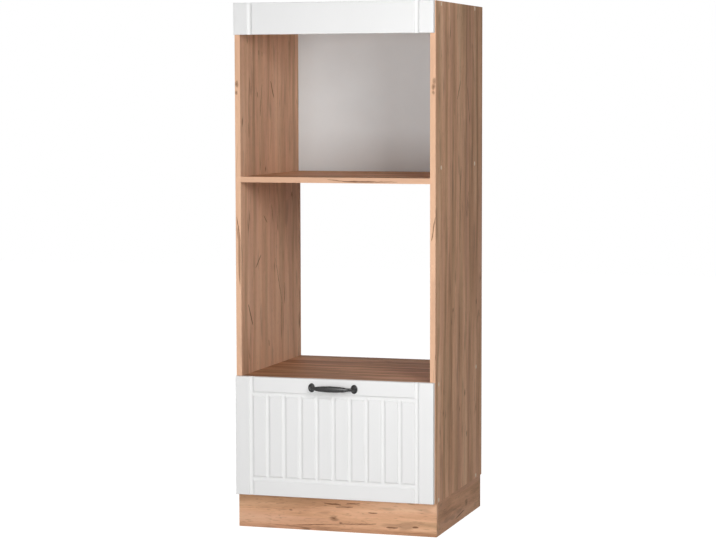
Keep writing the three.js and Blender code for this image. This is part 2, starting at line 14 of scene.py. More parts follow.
import bpy
import numpy as np
from mathutils import Matrix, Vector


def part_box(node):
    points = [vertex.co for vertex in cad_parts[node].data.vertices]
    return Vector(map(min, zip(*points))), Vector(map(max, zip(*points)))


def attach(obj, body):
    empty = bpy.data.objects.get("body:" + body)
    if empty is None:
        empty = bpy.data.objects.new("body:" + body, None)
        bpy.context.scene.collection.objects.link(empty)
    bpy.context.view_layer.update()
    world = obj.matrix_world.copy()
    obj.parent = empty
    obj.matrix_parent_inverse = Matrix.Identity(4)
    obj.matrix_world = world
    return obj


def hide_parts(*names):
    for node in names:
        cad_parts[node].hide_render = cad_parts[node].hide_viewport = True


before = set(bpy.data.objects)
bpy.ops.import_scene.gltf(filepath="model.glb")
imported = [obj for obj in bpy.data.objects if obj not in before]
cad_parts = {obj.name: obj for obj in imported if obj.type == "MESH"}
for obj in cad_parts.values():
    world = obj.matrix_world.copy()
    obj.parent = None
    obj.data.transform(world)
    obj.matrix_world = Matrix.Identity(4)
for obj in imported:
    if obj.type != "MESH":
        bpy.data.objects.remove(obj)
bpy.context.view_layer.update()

# %% [markdown]
# The drawings of a cabinet maker count in millimetres from the front of the carcass, from the
# middle of its width and from the floor. We keep that habit: every place below is written in
# those numbers and one function turns it into metres in the frame of the pack. A second one goes
# the other way and tells where a solid stands, so that sizes are read from the pack, not retyped.

# %% Millimetres of the drawing into metres of the frame
MM = 0.001
AXES = "XYZ"
CARCASS_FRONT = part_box("side_panel_right")[0].y


def placed(points):
    """Turns drawing points (right, back, up) in millimetres into frame points in metres."""
    return np.asarray(points, float) * MM + np.array([0.0, CARCASS_FRONT, 0.0])


def node_box(name):
    """The low and the high corner of a CAD node, in drawing millimetres."""
    corners = np.array([list(corner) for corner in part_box(name)])
    return np.round((corners - [0.0, CARCASS_FRONT, 0.0]) / MM, 3)


print("front plane of the carcass at y =", round(CARCASS_FRONT, 5))
print("the right side panel fills", node_box("side_panel_right").tolist())

# %% [markdown]
# ## Camera
# The photograph was taken from the right and slightly above the middle, from six metres away with
# a long lens. Its place was found by fitting straight edges of the picture to the same edges of
# the model. A camera in Blender looks along its own minus Z, so its matrix has three columns:
# right, up and backwards. They are worked out from three angles, as a fitted camera has no target.

# %% Camera at the angle of the photograph
PICTURE_WIDE = 716
FOCAL_PIXELS = 2225.25
SENSOR = 36.0
CAMERA_AT = (1949.28, -6046.49, 1264.17)  # drawing millimetres
yaw, pitch, roll = 0.3012, 0.079, -0.0021  # radians

level = np.array([math.cos(yaw), math.sin(yaw), 0.0])
ahead = np.array([-math.sin(yaw), math.cos(yaw), 0.0])
forward = ahead * math.cos(pitch) - np.array([0.0, 0.0, math.sin(pitch)])
upright = np.cross(level, forward)
right = math.cos(roll) * level + math.sin(roll) * upright
up = -math.sin(roll) * level + math.cos(roll) * upright

camera_data = bpy.data.cameras.new("photo_camera")
camera_data.sensor_width = SENSOR
camera_data.lens = SENSOR * FOCAL_PIXELS / PICTURE_WIDE


def enter(name, data):
    """Makes an object of a camera, a lamp or a mesh and links it to the scene."""
    item = bpy.data.objects.new(name, data)
    bpy.context.scene.collection.objects.link(item)
    return item


def stand(item, columns, at):
    """Puts a camera or a lamp at a place, its X, Y and Z axes along the three columns."""
    turned_and_moved = np.eye(4)
    turned_and_moved[:3] = np.column_stack([*columns, at])
    item.matrix_world = Matrix(turned_and_moved.tolist())


camera = enter("photo_camera", camera_data)
bpy.context.scene.camera = camera
stand(camera, (right, up, -forward), placed(CAMERA_AT))
print("camera at", np.round(placed(CAMERA_AT), 3), "lens", round(camera_data.lens, 2), "mm")

# %% [markdown]
# ## Shader maths
# A procedural material is mostly arithmetic on numbers that change over the surface. Written as
# nodes, one line of it is five boxes and eight wires. The small class below wraps the output of a
# node, so that a plus or a minus in Python adds the Math node and its wires. Every other node
# comes from one method: it takes the kind of node, its settings and what goes into its sockets.

# %% A socket that can be calculated with
class Wire:
    """The output of a shader node. Operators on it add Math nodes to the same material."""

    def __init__(self, recipe, socket):
        self.recipe = recipe
        self.socket = socket

    def math(self, operation, *numbers, clamp=False):
        settings = {"operation": operation, "use_clamp": clamp}
        return self.recipe.add("ShaderNodeMath", settings, dict(enumerate(numbers)))

    def __add__(self, other): return self.math("ADD", self, other)
    def __sub__(self, other): return self.math("SUBTRACT", self, other)
    def __mul__(self, other): return self.math("MULTIPLY", self, other)
    def __truediv__(self, other): return self.math("DIVIDE", self, other)
    def __pow__(self, other): return self.math("POWER", self, other)
    def __radd__(self, other): return self.math("ADD", other, self)
    def __rsub__(self, other): return self.math("SUBTRACT", other, self)
    def __abs__(self): return self.math("ABSOLUTE", self)
    def most(self, other): return self.math("MAXIMUM", self, other)
    def unit(self): return self.math("ADD", self, 0.0, clamp=True)
    def sine(self): return self.math("SINE", self)

    def rise(self, low, high):
        """0 below low, 1 above high and a smooth step between; it falls where low is above high."""
        if low > high:
            return 1.0 - self.rise(high, low)
        settings = {"interpolation_type": "SMOOTHSTEP", "clamp": True}
        sockets = {"Value": self, "From Min": low, "From Max": high}
        return self.recipe.add("ShaderNodeMapRange", settings, sockets)


# %% The recipe of one material
class Recipe:
    """A material under construction: a node tree with one Principled shader at its end."""

    def __init__(self, name):
        self.material = bpy.data.materials.new(name)
        self.material.use_nodes = True
        self.tree = self.material.node_tree
        self.tree.nodes.clear()
        self.spots = self.parts("Object")
        self.spots["Y"] = self.spots["Y"] - CARCASS_FRONT

    def add(self, kind, settings=None, sockets=None, output=0):
        """Adds a node, sets its settings, fills its sockets and returns one of its outputs."""
        node = self.tree.nodes.new(kind)
        for key, value in (settings or {}).items():
            if key == "stops":
                stops = node.color_ramp.elements
                stops[0].position, stops[1].position = value[0][0], value[-1][0]
                for at, _ in value[1:-1]:
                    stops.new(at)
                for stop, (_, color) in zip(stops, value):
                    stop.color = (*color, 1.0)
            else:
                setattr(node, key, value)
        for key, value in (sockets or {}).items():
            if isinstance(value, Wire):
                self.tree.links.new(value.socket, node.inputs[key])
            else:
                node.inputs[key].default_value = value
        return Wire(self, node.outputs[output]) if output is not None else None

    def parts(self, output):
        """X, Y and Z of the surface's place in metres (Object) or of the way it faces (Normal)."""
        whole = self.add("ShaderNodeTexCoord", output=output)
        return {axis: self.add("ShaderNodeSeparateXYZ", None, {0: whole}, axis) for axis in AXES}

    def vector(self, x, y, z):
        return self.add("ShaderNodeCombineXYZ", None, {0: x, 1: y, 2: z})

    def noise(self, vector, detail=2.0, roughness=0.5):
        sockets = {"Vector": vector, "Scale": 1.0, "Detail": detail, "Roughness": roughness}
        return self.add("ShaderNodeTexNoise", None, sockets)

    def speckle(self, fineness, detail=2.0, roughness=0.5):
        """Noise that is alike in all directions, with so many cells in a metre."""
        spot = self.vector(*[spot * fineness for spot in self.spots.values()])
        return self.noise(spot, detail, roughness)

    def cell_tone(self, vector):
        """One random number for each cell of a Voronoi pattern."""
        cells = self.add("ShaderNodeTexVoronoi", None, {"Vector": vector, "Scale": 1.0}, "Color")
        return self.add("ShaderNodeSeparateColor", None, {0: cells}, 0)

    def blend(self, amount, first, second):
        """The mix of two colours: the first at amount 0, the second at amount 1."""
        first, second = [(*c, 1.0) if isinstance(c, tuple) else c for c in (first, second)]
        sockets = {"Factor": amount, 6: first, 7: second}
        return self.add("ShaderNodeMix", {"data_type": "RGBA"}, sockets, 2)

    def finish(self, color, roughness, height, distance, strength, specular=0.5, metallic=0.0):
        """Closes the recipe with a Principled shader; the height becomes its bump, in metres."""
        relief = {"Height": height, "Distance": distance, "Strength": strength}
        sockets = {
            "Base Color": color, "Roughness": roughness, "Specular IOR Level": specular,
            "Metallic": metallic, "Normal": self.add("ShaderNodeBump", None, relief)}
        self.add_output(self.add("ShaderNodeBsdfPrincipled", None, sockets))
        return self.material

    def add_output(self, shader):
        self.add("ShaderNodeOutputMaterial", None, {"Surface": shader}, None)


def dress(name, material):
    """Gives a CAD node a material through its own slots."""
    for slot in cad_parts[name].material_slots:
        slot.material = material


def tint(shade, factor):
    """A colour with its three parts multiplied, none of them above 1."""
    return tuple(min(1.0, factor * part) for part in shade)


print("shader tools ready")

# %% [markdown]
# ## The oak decor
# The boards are chipboard with a printed melamine face. The print shows a rustic oak: tan and
# brown streaks along the grain, thin dark drying cracks and a knot now and then. A pattern that is
# worked out has no edge and no seam, and it fits every board. Real streaks are long, so each noise
# is squeezed: one millimetre across the grain counts as much as thirteen to twenty along it. Three
# noises of different width stand for the broad bands, the streaks and the fibres.

# %% Grain coordinates of a board
SWAY = 0.020  # in metres, how far the streaks wander to the side


class Board(Recipe):
    """The recipe of a board, with the place along the grain, across it and through the board.

    The print runs on round the edges, because its width is the place across plus the place
    through. A slow noise of the place is added to it and lets the streaks wander."""

    def __init__(self, name, along, through, seed):
        super().__init__(name)
        across = next(axis for axis in AXES if axis not in (along, through))
        self.run, self.side, self.deep = [self.spots[axis] for axis in (along, across, through)]
        self.through, self.seed = through, seed
        self.faces = self.parts("Normal")
        spot = self.vector(self.run * 2.2 + seed, self.side * 7.0 + 2.0 * seed, self.deep * 7.0)
        self.wide = self.side + self.deep + (self.noise(spot, detail=1.0) - 0.5) * SWAY

    def figure(self, long, broad, lane=0.0, detail=2.0, roughness=0.5):
        """Noise with so many cells in a metre along the grain and across it."""
        spot = self.vector(self.run * long, self.wide * broad, self.seed + lane)
        return self.noise(spot, detail, roughness)

    def on_face(self, face):
        """1 on one face: +1 or -1 along the through axis, or "edge" for the front edge."""
        if face == "edge":
            return self.faces["Y"].rise(-0.5, -0.7)
        return (self.faces[self.through] * face).rise(0.5, 0.7)


print("board recipe ready")

# %% [markdown]
# A knot and a crack are placed where the photograph shows one. A crack is the distance to
# a short line, and its width shrinks towards both ends, as a real split's does. A knot is the
# distance to a point, measured in a space that is squeezed along the grain.

# %% Cracks and knots at a chosen place
KNOT_LONG = 1.7  # the length of a knot along the grain for a width of 1


def crack(run, side, start, stop, width):
    """1 on a line from start to stop (along, across, in millimetres), fading out beyond its width.

    The foot of a point on the line is its scalar product with the line, cut to the line's length,
    and the half width there is width times the root of 4 f (1 - f), with f the share of the way."""
    (a0, c0), (a1, c1) = np.array(start) * MM, np.array(stop) * MM
    length = (a1 - a0) ** 2 + (c1 - c0) ** 2
    share = (((run - a0) * (a1 - a0) + (side - c0) * (c1 - c0)) / length).unit()
    away_a = run - a0 - share * (a1 - a0)
    away_c = side - c0 - share * (c1 - c0)
    away = (away_a * away_a + away_c * away_c) ** 0.5
    half = (share * (1.0 - share) * 4.0) ** 0.5 * (width * MM * 0.5) + 0.0001
    return (away / half).rise(1.7, 0.2)


def knot(run, side, centre, radius, wobble):
    """1 in the heart of a knot, falling to 0 at its rim, which the wobble pushes in and out.

    The distance to the centre is squeezed along the grain, and a sine of it gives the rings."""
    away_a = (run - centre[0] * MM) / (radius * KNOT_LONG * MM)
    away_c = (side - centre[1] * MM) / (radius * MM)
    away = (away_a * away_a + away_c * away_c) ** 0.5 + wobble * 1.4
    return away.rise(1.25, 0.15) * (0.85 + (away * 12.0).sine() * 0.15)


print("crack and knot masks ready")

# %% [markdown]
# The colour of the print is a ramp over the sum of the three noises. Patches of two other tans,
# dark flames and fine pores come over it, each where a noise of its own is high. The front edges
# carry an edge band with a paler print. A paler tan on one face of a board is painted light.

# %% Printed colour of the oak
OAK_STOPS = [
    (0.36, (0.36, 0.182, 0.096)), (0.44, (0.545, 0.294, 0.166)), (0.50, (0.69, 0.390, 0.231)),
    (0.56, (0.79, 0.468, 0.288)), (0.64, (0.87, 0.56, 0.362))]
# The last of these three tans is painted light, laid on one face of a board.
OLIVE_TAN, RED_TAN, PAINTED_LIGHT_TAN = (0.54, 0.340, 0.195), (0.66, 0.365, 0.240), (0.80, 0.60, 0.47)
FLAME_BROWN, PORE_BROWN = (0.29, 0.160, 0.095), (0.24, 0.125, 0.070)
EDGE_PRINT, EDGE_BAND = (0.84, 0.53, 0.36), 0.70


def oak_print(board, light, painted_light_share):
    """The colour of the print, and the streaks and fibres, which also give the relief."""
    run, wide, seed = board.run, board.wide, board.seed
    bands = board.noise(board.vector(run * 1.2 + seed, wide * 19.0, seed))
    streaks = board.noise(board.vector(run * 3.0, wide * 38.0 + seed, seed), 4.0, 0.62)
    fibres = board.figure(24.0, 480.0, roughness=0.7)
    # The shift of tone is painted light on the left side and painted shade on the oven shelf.
    tone = bands * 0.62 + streaks * 0.40 + fibres * 0.14 - 0.08 + light
    color = board.add("ShaderNodeValToRGB", {"stops": OAK_STOPS}, {0: tone})

    hue = board.figure(1.6, 22.0, 4.0)
    color = board.blend(hue.rise(0.50, 0.68) * 0.45, color, OLIVE_TAN)
    color = board.blend(hue.rise(0.50, 0.34) * 0.50, color, RED_TAN)
    flames = board.figure(6.0, 36.0, 21.0, roughness=0.6)
    color = board.blend(flames.rise(0.57, 0.72) * 0.50, color, FLAME_BROWN)
    pores = board.figure(48.0, 420.0, 2.0, detail=1.0)
    color = board.blend(pores.rise(0.60, 0.74) * 0.42, color, PORE_BROWN)
    # On the plus face a paler tan is laid over the print: painted light.
    if painted_light_share:
        color = board.blend(board.on_face(1) * painted_light_share, color, PAINTED_LIGHT_TAN)
    if board.through != "Y":
        color = board.blend(board.on_face("edge") * EDGE_BAND, color, EDGE_PRINT)
    return color, streaks, fibres


print("the print has", len(OAK_STOPS), "tones")

# %% [markdown]
# On top of the print come the random cracks, which are thin contour lines of another noise, the
# random knots, which are the middles of some Voronoi cells, and the listed marks. The rear
# edges of the boards aren't edged: there the raw chipboard shows.

# %% Dark marks in the print
CRACK_DARK, KNOT_DARK, RANDOM_DARK = 0.86, 0.84, 0.6


def oak_marks(board, cracks, knots):
    """How dark a place is marked: the random splits and knots, and those listed."""
    contour = board.figure(2.6, 38.0, 9.0, detail=1.0)
    patches = board.figure(4.2, 16.0, 14.0, detail=0.0)
    splits = abs(contour - 0.5).rise(0.018, 0.003) * patches.rise(0.55, 0.64)
    wobble = board.figure(55.0, 110.0) - 0.5
    spot = board.vector(board.run * 2.6, board.wide * 6.5, board.seed)
    heart = board.add("ShaderNodeTexVoronoi", None, {"Vector": spot, "Scale": 1.0}) + wobble * 0.06
    knotty = heart.rise(0.075, 0.01) * board.cell_tone(spot).rise(0.62, 0.66)
    marks = (splits * RANDOM_DARK).most(knotty * RANDOM_DARK)

    def side_on(face):
        return (board.deep if face == "edge" else board.side) + wobble * 0.004

    for face, start, stop, width in cracks:
        here = crack(board.run, side_on(face), start, stop, width)
        marks = marks.most(here * CRACK_DARK * board.on_face(face))
    for face, centre, radius in knots:
        here = knot(board.run, side_on(face), centre, radius, wobble)
        marks = marks.most(here * KNOT_DARK * board.on_face(face))
    return marks


print("marks ready")

# %% Raw chipboard
def chipboard(recipe, spots):
    """The raw edge of chipboard: flakes of a few millimetres in several tones, with dark gaps."""
    spot = recipe.vector(*[axis * 420.0 for axis in spots])
    sockets = {"Vector": spot, "Scale": 1.0}
    gaps = recipe.add("ShaderNodeTexVoronoi", {"feature": "DISTANCE_TO_EDGE"}, sockets)
    color = recipe.blend(recipe.cell_tone(spot), (0.33, 0.21, 0.12), (0.62, 0.45, 0.28))
    return recipe.blend(gaps.rise(0.08, 0.0) * 0.8, color, (0.12, 0.07, 0.04)), gaps


print("chipboard ready")

# %% Oak decor for one board
MARK_BROWN = (0.160, 0.074, 0.036)


def dress_in_oak(node, along, through, seed, cracks=(), knots=(), light=0.0, painted_light_share=0.0):
    """Dresses one board. Cracks and knots are (face, ...) with the face as a sign of the through
    axis, or "edge" for the front edge, so that a mark stays on its own face. Light shifts the
    tone of the whole print; on the left side it is painted light and on the oven shelf painted
    shade. The share on the plus face lays a paler tan there, which is painted light."""
    board = Board("oak_" + node, along, through, seed)
    color, streaks, fibres = oak_print(board, light, painted_light_share)
    marks = oak_marks(board, cracks, knots)
    color = board.blend(marks, color, MARK_BROWN)
    relief = fibres * 0.6 + streaks * 0.4 - marks * 0.8
    roughness = 0.52 + fibres * 0.16
    if through != "Y":
        rear = board.faces["Y"].rise(0.5, 0.7)
        chips, gaps = chipboard(board, (board.run, board.side, board.deep))
        color = board.blend(rear, color, chips)
        roughness = roughness + rear * 0.4
        relief = relief * (1.0 - rear) + gaps.rise(0.0, 0.3) * rear * 3.0
    dress(node, board.finish(color, roughness, relief, 0.00012, 0.6, specular=0.08))


print("oak decor ready")

# %% [markdown]
# The side panels stand upright, so their grain runs up. Shelves, top, bottom and the long plinth
# boards run across, and the short plinth boards run from front to back. Every board has its own
# seed, as no two boards are cut from the same stretch of print. The marks are those of the
# photograph, in drawing millimetres: (along the grain, across it) for both ends, then the width.

# %% Side panels
left_marks = [
    (1, (1303, 264), (1252, 292), 6), (1, (1294, 187), (1197, 170), 3.5),
    (1, (1394, 158), (1378, 161), 3), (1, (1390, 188), (1374, 190), 3),
    (1, (1271, 145), (1254, 151), 4), (1, (1181, 70), (1136, 72), 3), (1, (650, 59), (584, 97), 6),
    (1, (904, 196), (880, 228), 3), (1, (933, 269), (879, 281), 3), (1, (770, 299), (624, 361), 3),
    (1, (788, 171), (751, 124), 4), (1, (689, 386), (622, 383), 4), (1, (527, 236), (507, 240), 4),
    ("edge", (910, -297), (839, -286), 2.5)]
left_knots = [("edge", (1293, -294), 6), ("edge", (1268, -296), 4.5), (1, (1042, 215), 6)]
right_marks = [
    (1, (1303, 281), (1247, 240), 5), (1, (1286, 358), (1208, 375), 5),
    (1, (1052, 291), (935, 267), 4), (1, (975, 374), (901, 349), 5),
    ("edge", (917, 299), (849, 289), 2.5)]
right_knots = [
    (1, (637, 469), 6), (1, (376, 333), 8), (1, (336, 274), 6), (1, (348, 86), 7),
    (1, (250, 356), 6), ("edge", (1299, 297), 6), ("edge", (1282, 294), 6),
    ("edge", (1268, 293), 4)]
# The left side's print is lighter, and paler still on its inner face towards the niche: painted
# light.
dress_in_oak("side_panel_left", "Z", "X", 3.1, left_marks, left_knots, light=0.04, painted_light_share=0.22)
dress_in_oak("side_panel_right", "Z", "X", 11.7, right_marks, right_knots)
print("marks on the side panels:", len(left_marks + left_knots + right_marks + right_knots))

# %% Shelves, top, bottom and plinth
shelf_marks = [
    ("edge", (-20, 1020), (40, 1014.5), 2), ("edge", (25, 1015), (125, 1014), 4.5),
    ("edge", (95, 1014), (188, 1015), 2)]
front_marks = [
    (-1, (-137, 11), (-11, 22), 2.5), (-1, (-11, 22), (119, 28), 2.5),
    (-1, (150, 20), (185, 21), 5), (-1, (228, 25), (246, 25), 4), (-1, (95, 60), (124, 60), 3),
    (-1, (-38, 81), (14, 79), 3.5), (-1, (-4, 72), (50, 74), 3), (-1, (30, 84), (72, 85), 3)]
front_knots = [(-1, (-8, 38), 9), (-1, (-139, 57), 4), (-1, (12, 25), 3.5)]
side_marks = [(1, (225, 15), (330, 24), 4)]
side_knots = [(1, (353, 42), 11)]
# The last number of a board shifts the tone of its print; on the oven shelf it darkens it as
# painted shade.
across_boards = {
    "microwave_shelf": (21.3, shelf_marks, -0.01), "oven_shelf": (5.9, (), -0.05),
    "top_panel": (31.0, (), 0.0), "bottom_panel": (17.2, (), 0.0)}
for name, (seed, marks, light) in across_boards.items():
    dress_in_oak(name, "X", "Z", seed, marks, light=light)
dress_in_oak("plinth_front", "X", "Y", 8.4, front_marks, front_knots, light=0.06)
dress_in_oak("plinth_rear", "X", "Y", 14.6)
dress_in_oak("plinth_side_right", "Y", "X", 26.5, side_marks, side_knots, light=0.03)
dress_in_oak("plinth_side_left", "Y", "X", 37.8)
print("oak boards dressed:", 2 + len(across_boards) + 4)

# %% [markdown]
# ## Back panels and drawer boards
# The back panels are three millimetres of hardboard. The face towards the niche is lacquered light
# grey, and the face towards the wall is raw brown fibre with the print of the wire screen on which
# such board is pressed. Two sine waves crossing make that screen. The drawer box is chipboard with
# white melamine, which has a fine pearl, and its undersides are raw.

# %% Hardboard
SCREEN = 3900.0  # radians in a metre, so a wire every 1.6 mm


def hardboard(name, facing, lacquer_sign, lacquer):
    """Lacquered on the side where the normal's part along facing has the sign, fibre elsewhere."""
    recipe = Recipe(name)
    lacquered = (recipe.parts("Normal")[facing] * lacquer_sign).rise(0.5, 0.7)
    cloud = recipe.speckle(9.0, detail=3.0)
    speck = recipe.speckle(900.0, detail=1.0)
    smooth_face = recipe.blend(cloud, tint(lacquer, 0.955), tint(lacquer, 1.045))
    felt = recipe.speckle(240.0, detail=4.0, roughness=0.7)
    fibre = recipe.blend(felt.rise(0.3, 0.7), (0.29, 0.165, 0.086), (0.52, 0.325, 0.185))
    fibre = recipe.blend(cloud.rise(0.40, 0.66) * 0.6, fibre, (0.53, 0.345, 0.205))
    first, second = [recipe.spots[axis] for axis in AXES if axis != facing]
    screen = (first * SCREEN).sine() * (second * SCREEN).sine()
    color = recipe.blend(lacquered, fibre, smooth_face)
    height = lacquered * speck * 0.2 + (1.0 - lacquered) * (screen * 0.5 + felt)
    roughness = 0.72 - lacquered * 0.27 + speck * 0.08
    return recipe.finish(color, roughness, height, 0.00015, 0.5, specular=0.4)


grey_back = hardboard("grey_hardboard", "Y", -1, (0.785, 0.85, 0.88))
drawer_floor = hardboard("white_hardboard", "Z", 1, (0.80, 0.79, 0.77))
dress("back_panel", grey_back)
dress("drawer_bay_back", grey_back)
dress("drawer_bottom", drawer_floor)
print("hardboard dressed")

# %% White melamine of the drawer box
def melamine(name, shade):
    """White melamine with a pearl of about a millimetre; faces that look down are raw chipboard."""
    recipe = Recipe(name)
    under = recipe.parts("Normal")["Z"].rise(-0.5, -0.7)
    cloud = recipe.speckle(14.0)
    pearl = recipe.speckle(700.0)
    face = recipe.blend(cloud, tint(shade, 0.97), tint(shade, 1.03))
    chips, gaps = chipboard(recipe, recipe.spots.values())
    color = recipe.blend(under, face, chips)
    height = pearl * (1.0 - under) + gaps.rise(0.0, 0.3) * under * 3.0
    roughness = 0.42 + pearl * 0.14 + under * 0.35
    return recipe.finish(color, roughness, height, 0.00008, 0.6, specular=0.4)


white_board = melamine("white_melamine", (0.80, 0.79, 0.77))
for name in ("drawer_side_left", "drawer_side_right", "drawer_box_front", "drawer_box_back"):
    dress(name, white_board)
print("drawer box dressed")

# %% [markdown]
# ## Metal and plastic
# Three small recipes. Powder coat and black lacquer are paint: their colour is nearly even and the
# detail is a fine orange peel in the bump. Zinc is bare metal, with crystals that shine a little
# differently from one to the next. Moulded plastic has soft flow marks.

# %% Paint, zinc and plastic
def paint(name, shade, roughness, peel, worn):
    """Paint on steel. Its peel is a noise of half a millimetre; worn is how far the tone drifts."""
    recipe = Recipe(name)
    grain = recipe.speckle(1900.0)
    rubbed = recipe.speckle(60.0, detail=4.0, roughness=0.65)
    faded = tuple(min(1.0, part * (1.0 + worn) + worn * 0.02) for part in shade)
    color = recipe.blend(rubbed.rise(0.35, 0.75), shade, faded)
    return recipe.finish(color, roughness + rubbed * 0.14 - 0.07, grain, peel * MM, 0.7)


def zinc(name, shade):
    """Zinc plate: Voronoi crystals of two millimetres, each with its own tone and roughness."""
    recipe = Recipe(name)
    x, y, z = recipe.spots.values()
    tone = recipe.cell_tone(recipe.vector(x * 520.0, y * 520.0, z * 520.0))
    haze = recipe.speckle(130.0, detail=3.0)
    scratch = recipe.noise(recipe.vector(x * 3000.0, y * 160.0, z * 3000.0), detail=1.0)
    color = recipe.blend(tone * 0.5 + haze * 0.5, tint(shade, 0.88), tint(shade, 1.1))
    roughness = 0.24 + tone * 0.08 + haze * 0.16
    return recipe.finish(color, roughness, scratch, 0.00003, 0.6, metallic=1.0)


def plastic(name, shade, specular):
    """Moulded plastic: faint flow marks in the tone and a fine eroded bump."""
    recipe = Recipe(name)
    flow = recipe.speckle(170.0)
    spark = recipe.speckle(2600.0)
    color = recipe.blend(flow.rise(0.3, 0.7), tint(shade, 0.94), tint(shade, 1.05))
    return recipe.finish(color, spark * 0.12 + 0.42, spark, 0.00003, 0.7, specular)


black_metal = paint("black_satin_metal", (0.010, 0.010, 0.0105), 0.28, 0.02, 0.25)
rail_coat = paint("white_powder_coat", (0.75, 0.75, 0.73), 0.42, 0.03, 0.04)
zinc_plate = zinc("bright_zinc", (0.60, 0.61, 0.63))
roller_plastic = plastic("roller_plastic", (0.78, 0.77, 0.72), 0.4)
cap_plastic = plastic("cap_plastic", (0.88, 0.70, 0.53), 0.45)
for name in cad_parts:
    if any(word in name for word in ("connector", "bolt", "cam_", "bracket", "screw")):
        dress(name, zinc_plate)
    elif "rail" in name:
        dress(name, rail_coat)
    elif "roller" in name:
        dress(name, roller_plastic)
    elif "cap" in name:
        dress(name, cap_plastic)
print("metal and plastic dressed")

# %% [markdown]
# ## Surfaces from arrays
# New pieces are surfaces of two parameters. A grid of points is worked out as one array, and the
# faces are index arithmetic on it. One function closes a stack of rings with a fan at each end, and
# one function puts arrays into a mesh and turns its faces outwards: six times the enclosed volume
# is the sum of a . (b x c) over its triangles, so a negative sum means inside out.

# %% Rings into a closed shell, arrays into a piece
def band(rings, closed=False):
    """Points and quads over rings of points, shaped (ring, point, 3).

    Point j of ring i has the number i m + j; a quad joins it to its neighbours, with j + 1 taken
    modulo m. In a closed band, as round a bore, the last ring joins the first as well."""
    n, m = rings.shape[:2]
    i, j = np.meshgrid(np.arange(n if closed else n - 1), np.arange(m), indexing="ij")
    below, after = (i + 1) % n, (j + 1) % m
    corners = [i * m + j, i * m + after, below * m + after, below * m + j]
    return rings.reshape(-1, 3), np.stack(corners, -1).reshape(-1, 4)


def shell(rings):
    """A band closed by a fan at each end, whose pole is the mean of the end ring."""
    points, quads = band(rings)
    n, m = rings.shape[:2]
    around = np.arange(m)
    after = (around + 1) % m
    fans = np.concatenate([
        np.stack([after, around, np.full(m, n * m)], -1),
        np.stack([(n - 1) * m + around, (n - 1) * m + after, np.full(m, n * m + 1)], -1)])
    return np.concatenate([points, rings[:1].mean(1), rings[-1:].mean(1)]), [quads, fans]


def piece(name, skins, material, body, stands_for=(), sharp=35.0, masks=None):
    """Makes one object of closed skins given in drawing millimetres, riding on a body."""
    points, faces, start = [], [], 0
    for skin_points, skin_faces in skins:
        cuts = [f[:, [0, k, k + 1]] for f in skin_faces for k in range(1, f.shape[1] - 1)]
        a, b, c = (skin_points[np.concatenate(cuts)[:, k]] for k in range(3))
        turn = -1 if np.sum(a * np.cross(b, c)) < 0 else 1
        faces += [face for f in skin_faces for face in (f[:, ::turn] + start).tolist()]
        points.append(skin_points)
        start += len(skin_points)
    mesh = bpy.data.meshes.new(name)
    mesh.from_pydata(placed(np.concatenate(points)).tolist(), [], faces)
    mesh.shade_smooth()
    mesh.set_sharp_from_angle(angle=math.radians(sharp))
    for label, values in (masks or {}).items():
        mask = mesh.attributes.new(label, "FLOAT", "POINT")
        mask.data.foreach_set("value", np.asarray(values, np.float32))
    mesh.materials.append(material)
    item = enter(name, mesh)
    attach(item, body)
    if stands_for:
        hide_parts(*stands_for)
    return item


print("surface tools ready")

# %% [markdown]
# ## Milled white fronts
# The fascia and the drawer front are fibreboard, milled with a round-nosed cutter and covered with
# white foil. The foil can't follow a sharp corner, so every lip of a groove is softly rounded. A
# boolean cut would give sharp lips and long thin faces. A height field is better: the depth at a
# point is worked out from its distance to the cutter's paths, and the grid has more lines near
# the grooves, where the surface bends.

# %% Depth of the milled grooves
GROOVE_WIDE = 15.0
GROOVE_DEEP = 5.1
CUTTER = (GROOVE_WIDE ** 2 / 4 + GROOVE_DEEP ** 2) / (2 * GROOVE_DEEP)
LIP = 0.5
EDGE_ROUND = 2.0


def milled_depth(x, z, paths):
    """How far the cutter goes below the face at each point of the arrays x and z.

    At a distance d from a path the cutter's circle lies sqrt(R^2 - d^2) - (R - depth) below the
    face. The greatest of all paths and zero is kept, and near a tie of a and b the smooth maximum
    max(a, b) + h^2 k / 4 with h = 1 - |a - b| / k rounds the lip over a width of about k."""
    depth = np.zeros_like(x)
    for x0, z0, x1, z1 in paths:
        away = np.hypot(x - np.clip(x, x0, x1), z - np.clip(z, z0, z1))
        circle = np.sqrt(np.maximum(CUTTER ** 2 - away ** 2, 0.0))
        cut = circle - (CUTTER - GROOVE_DEEP) - np.maximum(away - CUTTER, 0.0)
        tie = np.maximum(1.0 - np.abs(depth - cut) / LIP, 0.0)
        depth = np.maximum(depth, cut) + tie ** 2 * LIP / 4
    return depth


print("cutter radius", round(CUTTER, 2), "mm")

# %% Grid lines that crowd where the surface bends
COARSE = 11.0  # the widest cell of the grid
BESIDE = np.array([0.0, 1.8, 3.4, 4.8, 5.9, 6.7, 7.2, 7.5, 7.8, 8.4])  # from a groove's centre


